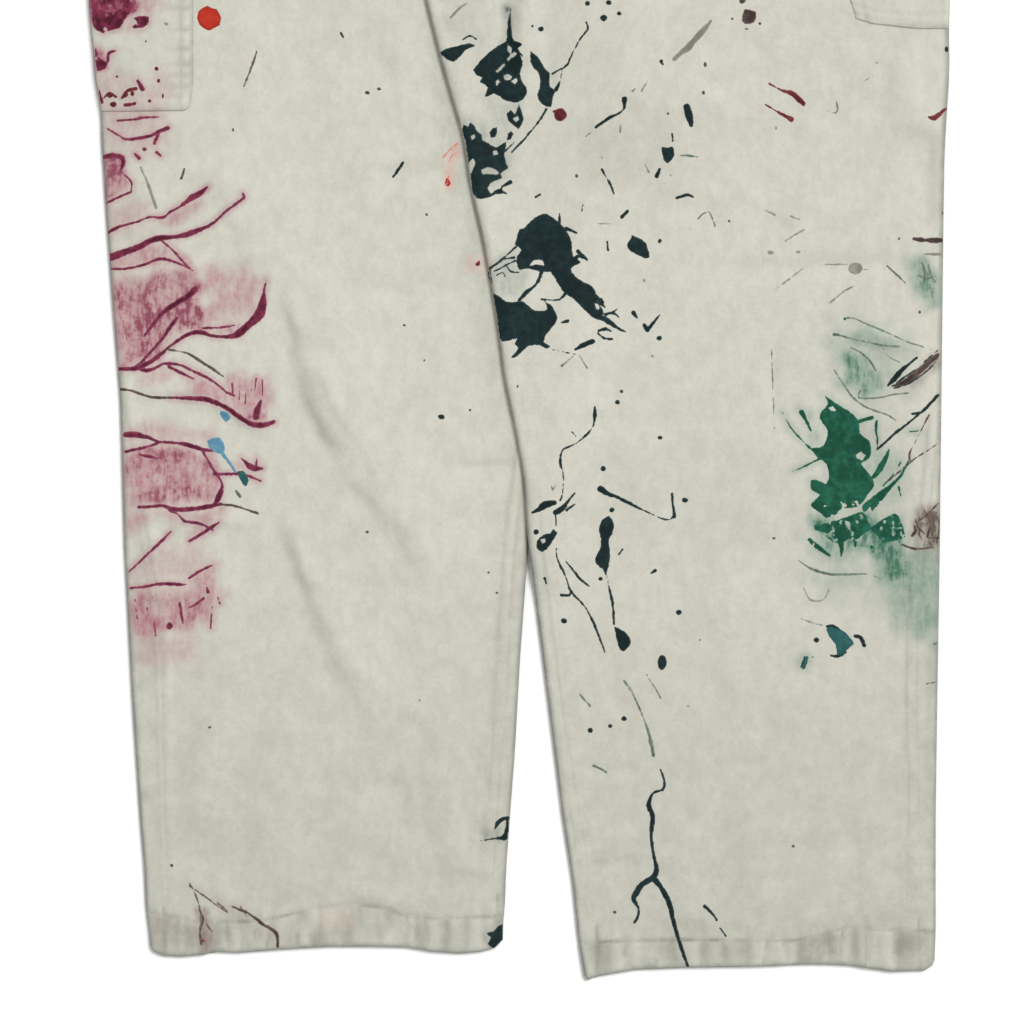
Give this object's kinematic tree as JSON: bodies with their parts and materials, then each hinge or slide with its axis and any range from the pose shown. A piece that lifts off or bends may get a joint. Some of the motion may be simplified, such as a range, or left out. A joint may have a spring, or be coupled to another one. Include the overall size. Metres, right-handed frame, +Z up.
{
  "type": "paint spattered bib overalls",
  "caption": "Cotton bib overalls laid flat with the front up, one leg lapped over the other, straps folded and buckled to the bib.",
  "frame": {"origin": "centre of the bounding box's foot, on the surface that the garment lies on", "axes": "+Z up out of the surface towards the front of the garment, +Y from the hems to the straps, +X to the right as seen from above"},
  "size_m": [0.566, 1.539, 0.0144],
  "materials": {
    "cotton_drill": "washed off-white cotton drill, matt, with dried paint marks",
    "strap_webbing": "off-white cotton, edge stitched, matt",
    "buckle_steel": "stamped, nickel plated, dulled by wear",
    "button_brass": "stamped, dulled by washing"
  },
  "bodies": {
    "root": {"left_leg_front": "cotton_drill", "left_leg_back": "cotton_drill", "right_leg_front": "cotton_drill", "right_leg_back": "cotton_drill", "left_tool_pocket": "cotton_drill", "right_side_pocket": "cotton_drill", "front_waistband": "cotton_drill", "bib_front": "cotton_drill", "back_bib": "cotton_drill", "strap_left": "strap_webbing", "strap_right": "strap_webbing", "buckle_left": "buckle_steel", "buckle_right": "buckle_steel", "bib_button_left": "button_brass", "bib_button_right": "button_brass", "side_button_left_1": "button_brass", "side_button_left_2": "button_brass", "side_button_right_1": "button_brass", "side_button_right_2": "button_brass"}
  },
  "joints": []
}
